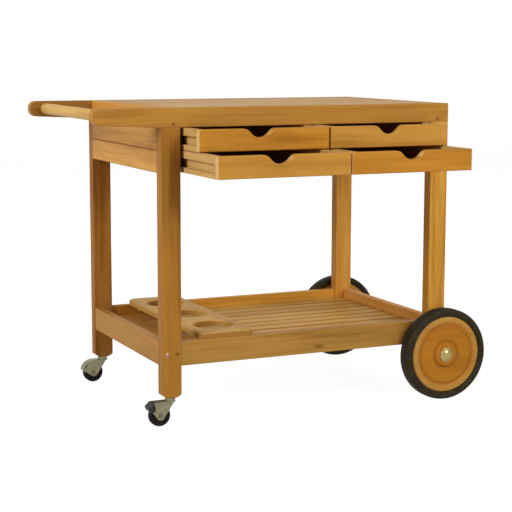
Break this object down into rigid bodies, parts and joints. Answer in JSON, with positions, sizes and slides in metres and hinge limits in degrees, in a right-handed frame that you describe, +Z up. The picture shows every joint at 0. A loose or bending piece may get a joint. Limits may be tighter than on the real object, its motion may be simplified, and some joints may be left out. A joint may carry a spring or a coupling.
{
  "type": "drawer trolley",
  "caption": "Wooden serving trolley with slatted top, grooved side-hung drawers, low shelf with a bottle rack, round push bar, rubber-tyred wheels and swivel casters.",
  "frame": {"origin": "on the floor under the middle of the whole box, with the drawers open as in the picture", "axes": "+X from the push bar to the big wheels, +Y from the drawer fronts to the back, +Z up"},
  "size_m": [1.171, 0.8932, 0.85],
  "materials": {
    "teak": "oiled teak, satin",
    "teak_sides": "planed teak, satin",
    "teak_turned": "turned and varnished teak",
    "plywood": "thin plywood",
    "tyre_rubber": "solid black rubber",
    "caster_rubber": "black rubber",
    "black_plastic": "moulded black",
    "nylon": "natural nylon",
    "zinc_steel": "yellow zinc plate",
    "brass": "polished"
  },
  "bodies": {
    "frame": {"apron_back": "teak", "apron_left": "teak", "apron_right": "teak", "axle": "zinc_steel", "axle_washers": "zinc_steel", "bottle_rack_board": "teak", "bottle_rack_cleats": "teak", "caster_stem_back": "zinc_steel", "caster_stem_front": "zinc_steel", "centre_divider": "teak", "drawer_runners": "teak", "frame_bolts": "zinc_steel", "handle_bar": "teak", "hub_caps": "brass", "leg_back_left": "teak", "leg_back_right": "teak", "leg_front_left": "teak", "leg_front_right": "teak", "shelf_bearers": "teak", "shelf_rail_back": "teak", "shelf_rail_front": "teak", "shelf_rail_left": "teak", "shelf_rail_right": "teak", "shelf_slats": "teak", "top_battens": "teak", "top_end_rail_left": "teak", "top_end_rail_right": "teak", "top_planks": "teak", "top_rail_back": "teak", "top_rail_front": "teak", "wood_plugs": "teak"},
    "drawer_upper_left": {"drawer_upper_left_back": "teak_sides", "drawer_upper_left_bottom": "plywood", "drawer_upper_left_front": "teak", "drawer_upper_left_sides": "teak_sides"},
    "drawer_upper_right": {"drawer_upper_right_back": "teak_sides", "drawer_upper_right_bottom": "plywood", "drawer_upper_right_front": "teak", "drawer_upper_right_sides": "teak_sides"},
    "drawer_lower_left": {"drawer_lower_left_back": "teak_sides", "drawer_lower_left_bottom": "plywood", "drawer_lower_left_front": "teak", "drawer_lower_left_sides": "teak_sides"},
    "drawer_lower_right": {"drawer_lower_right_back": "teak_sides", "drawer_lower_right_bottom": "plywood", "drawer_lower_right_front": "teak", "drawer_lower_right_sides": "teak_sides"},
    "wheel_front": {"wheel_disc_front": "teak_turned", "tyre_front": "tyre_rubber", "wheel_bush_front": "nylon"},
    "caster_front": {"caster_fork_front": "zinc_steel", "caster_pin_front": "zinc_steel"},
    "caster_wheel_front": {"caster_wheel_front": "caster_rubber"},
    "wheel_back": {"wheel_disc_back": "teak_turned", "tyre_back": "tyre_rubber", "wheel_bush_back": "nylon"},
    "caster_back": {"caster_fork_back": "zinc_steel", "caster_pin_back": "zinc_steel"},
    "caster_wheel_back": {"caster_wheel_back": "caster_rubber"},
    "brake_lever": {"brake_lever": "black_plastic"}
  },
  "joints": [
    {"name": "drawer_upper_left_slide", "type": "slide", "parent": "frame", "child": "drawer_upper_left", "axis": [0, -1, 0], "range_m": [-0.104, 0.276]},
    {"name": "drawer_upper_right_slide", "type": "slide", "parent": "frame", "child": "drawer_upper_right", "axis": [0, -1, 0], "range_m": [-0.104, 0.276]},
    {"name": "drawer_lower_left_slide", "type": "slide", "parent": "frame", "child": "drawer_lower_left", "axis": [0, -1, 0], "range_m": [-0.228, 0.152]},
    {"name": "drawer_lower_right_slide", "type": "slide", "parent": "frame", "child": "drawer_lower_right", "axis": [0, -1, 0], "range_m": [-0.228, 0.152]},
    {"name": "wheel_front_spin", "type": "hinge", "parent": "frame", "child": "wheel_front", "pos_m": [0.4535, -0.24465, 0.132], "axis": [0, 1, 0], "continuous": true},
    {"name": "wheel_back_spin", "type": "hinge", "parent": "frame", "child": "wheel_back", "pos_m": [0.4535, 0.41235, 0.132], "axis": [0, 1, 0], "continuous": true},
    {"name": "caster_front_swivel", "type": "hinge", "parent": "frame", "child": "caster_front", "pos_m": [-0.373, -0.20165, 0.065], "axis": [0, 0, 1], "continuous": true},
    {"name": "caster_wheel_front_spin", "type": "hinge", "parent": "caster_front", "child": "caster_wheel_front", "pos_m": [-0.405, -0.20165, 0.0295], "axis": [0, 1, 0], "continuous": true},
    {"name": "caster_back_swivel", "type": "hinge", "parent": "frame", "child": "caster_back", "pos_m": [-0.373, 0.36935, 0.065], "axis": [0, 0, 1], "continuous": true},
    {"name": "caster_wheel_back_spin", "type": "hinge", "parent": "caster_back", "child": "caster_wheel_back", "pos_m": [-0.405, 0.36935, 0.0295], "axis": [0, 1, 0], "continuous": true},
    {"name": "brake_lever_pivot", "type": "hinge", "parent": "caster_front", "child": "brake_lever", "pos_m": [-0.42915, -0.20165, 0.05049], "axis": [0, -1, 0], "range_deg": [0, 10]}
  ]
}
